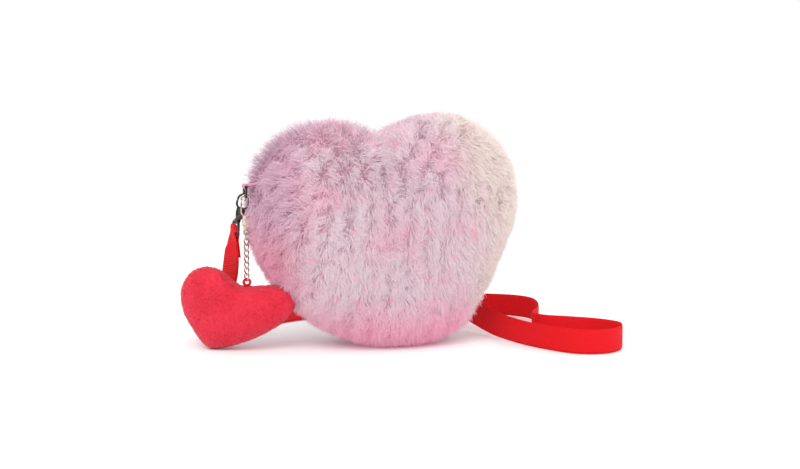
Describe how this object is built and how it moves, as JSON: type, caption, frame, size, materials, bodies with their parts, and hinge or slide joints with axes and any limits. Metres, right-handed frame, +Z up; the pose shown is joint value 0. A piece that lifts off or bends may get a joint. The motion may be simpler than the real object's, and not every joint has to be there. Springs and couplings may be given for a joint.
{
  "type": "plush heart purse",
  "caption": "Long-pile plush heart purse with a zipped lobe, a clip-on webbing shoulder strap and a small plush heart charm on a chain.",
  "frame": {"origin": "middle of the small flat patch that the purse stands on, on the floor, under the seam", "axes": "+Z up, +X towards the right lobe, -Y out of the front panel"},
  "size_m": [0.3482, 0.2206, 0.1831],
  "materials": {
    "pink_plush": "long soft pile",
    "cream_plush": "long soft pile",
    "padding": "loose filling",
    "lining": "plain weave",
    "zip_tape": "woven tape",
    "zip_teeth": "satin",
    "tab_tape": "woven tape",
    "webbing": "coarse weave",
    "steel": "polished",
    "clasp_steel": "polished",
    "red_plush": "short pile",
    "red_cord": "twisted cord"
  },
  "bodies": {
    "purse": {"front_shell": "pink_plush", "back_shell": "cream_plush", "front_padding": "padding", "back_padding": "padding", "front_lining": "lining", "back_lining": "lining", "zip_tape_front": "zip_tape", "zip_tape_back": "zip_tape", "zip_teeth_front": "zip_teeth", "zip_teeth_back": "zip_teeth", "zip_top_stop": "steel", "zip_bottom_stop": "steel", "left_tab": "tab_tape", "right_tab": "tab_tape", "strap": "webbing"},
    "slider": {"zip_slider": "steel"},
    "pull": {"zip_pull": "steel"},
    "left_ring": {"left_dring": "steel", "left_strap_loop": "steel"},
    "left_clasp": {"left_hook": "steel", "left_gate_pin": "steel", "left_gate_spring": "steel"},
    "left_clasp_gate": {"left_gate": "steel"},
    "right_ring": {"right_dring": "steel", "right_strap_loop": "steel"},
    "right_clasp": {"right_hook": "steel", "right_gate_pin": "steel", "right_gate_spring": "steel"},
    "right_clasp_gate": {"right_gate": "steel"},
    "charm_clasp": {"charm_hook": "clasp_steel", "charm_gate_pin": "clasp_steel", "charm_gate_spring": "clasp_steel"},
    "charm_clasp_gate": {"charm_gate": "clasp_steel"},
    "jump_ring": {"charm_ring": "clasp_steel"},
    "link_1": {"chain_link_1": "clasp_steel"},
    "link_2": {"chain_link_2": "clasp_steel"},
    "link_3": {"chain_link_3": "clasp_steel"},
    "link_4": {"chain_link_4": "clasp_steel"},
    "link_5": {"chain_link_5": "clasp_steel"},
    "link_6": {"chain_link_6": "clasp_steel"},
    "link_7": {"chain_link_7": "clasp_steel"},
    "charm": {"charm_loop": "red_cord", "charm_front": "red_plush", "charm_back": "red_plush", "charm_stuffing": "padding"}
  },
  "joints": [
    {"name": "slider_run", "type": "hinge", "parent": "purse", "child": "slider", "pos_m": [-0.066, 0, 0.1205], "axis": [0, -1, 0], "range_deg": [0, 60], "deforming": ["zip_teeth_front", "zip_teeth_back"]},
    {"name": "pull_flip", "type": "hinge", "parent": "slider", "child": "pull", "pos_m": [-0.04661, 0, 0.16961], "axis": [0, 1, 0], "range_deg": [0, 140]},
    {"name": "left_ring_swing", "type": "hinge", "parent": "purse", "child": "left_ring", "pos_m": [-0.1335, 0, 0.134], "axis": [0, 1, 0], "range_deg": [0, 60], "deforming": ["strap"]},
    {"name": "left_clasp_swivel", "type": "hinge", "parent": "left_ring", "child": "left_clasp", "pos_m": [-0.13852, 0.00784, 0.1068], "axis": [0.2511, -0.2419, 0.9372], "range_deg": [-20, 20]},
    {"name": "left_gate_press", "type": "hinge", "parent": "left_clasp", "child": "left_clasp_gate", "pos_m": [-0.1383, 0.00614, 0.11381], "axis": [0.0626, 0.9703, 0.2337], "range_deg": [0, 20], "stiffness_Nm_per_rad": 0.002, "springref_deg": -20.05, "deforming": ["left_gate_spring"]},
    {"name": "right_ring_swing", "type": "hinge", "parent": "purse", "child": "right_ring", "pos_m": [0.0806, 0.03381, 0.143], "axis": [0.9659, -0.2588, 0], "range_deg": [0, 60]},
    {"name": "right_clasp_swivel", "type": "hinge", "parent": "right_ring", "child": "right_clasp", "pos_m": [0.08195, 0.03345, 0.1146], "axis": [-0.0674, 0.0181, 0.9976], "range_deg": [-20, 20]},
    {"name": "right_gate_press", "type": "hinge", "parent": "right_clasp", "child": "right_clasp_gate", "pos_m": [0.08189, 0.03512, 0.12162], "axis": [0.9636, -0.2582, 0.0698], "range_deg": [0, 20], "stiffness_Nm_per_rad": 0.002, "springref_deg": -20.05, "deforming": ["right_gate_spring"]},
    {"name": "charm_clasp_swing", "type": "hinge", "parent": "left_ring", "child": "charm_clasp", "pos_m": [-0.1335, -0.003, 0.12555], "axis": [0, 1, 0], "range_deg": [0, 4]},
    {"name": "charm_gate_press", "type": "hinge", "parent": "charm_clasp", "child": "charm_clasp_gate", "pos_m": [-0.13472, -0.003, 0.10868], "axis": [0, 1, 0], "range_deg": [0, 20], "stiffness_Nm_per_rad": 0.002, "springref_deg": -20.05, "deforming": ["charm_gate_spring"]},
    {"name": "jump_ring_swing", "type": "hinge", "parent": "charm_clasp", "child": "jump_ring", "pos_m": [-0.1335, -0.003, 0.0957], "axis": [-1, 0, 0], "range_deg": [0, 25]},
    {"name": "link_1_swing", "type": "hinge", "parent": "jump_ring", "child": "link_1", "pos_m": [-0.1335, -0.003, 0.0913], "axis": [0, 1, 0], "range_deg": [0, 5]},
    {"name": "link_2_swing", "type": "hinge", "parent": "link_1", "child": "link_2", "pos_m": [-0.1335, -0.003, 0.08649], "axis": [-1, 0, 0], "range_deg": [0, 8]},
    {"name": "link_3_swing", "type": "hinge", "parent": "link_2", "child": "link_3", "pos_m": [-0.1335, -0.003, 0.08169], "axis": [0, 1, 0], "range_deg": [0, 5]},
    {"name": "link_4_swing", "type": "hinge", "parent": "link_3", "child": "link_4", "pos_m": [-0.1335, -0.003, 0.07689], "axis": [-1, 0, 0], "range_deg": [0, 8]},
    {"name": "link_5_swing", "type": "hinge", "parent": "link_4", "child": "link_5", "pos_m": [-0.1335, -0.003, 0.07209], "axis": [0, 1, 0], "range_deg": [0, 5]},
    {"name": "link_6_swing", "type": "hinge", "parent": "link_5", "child": "link_6", "pos_m": [-0.1335, -0.003, 0.06729], "axis": [-1, 0, 0], "range_deg": [0, 8]},
    {"name": "link_7_swing", "type": "hinge", "parent": "link_6", "child": "link_7", "pos_m": [-0.1335, -0.003, 0.06249], "axis": [0, 1, 0], "range_deg": [0, 5]},
    {"name": "charm_swing", "type": "hinge", "parent": "link_7", "child": "charm", "pos_m": [-0.1335, -0.003, 0.0578], "axis": [-1, 0, 0], "range_deg": [0, 20]}
  ]
}
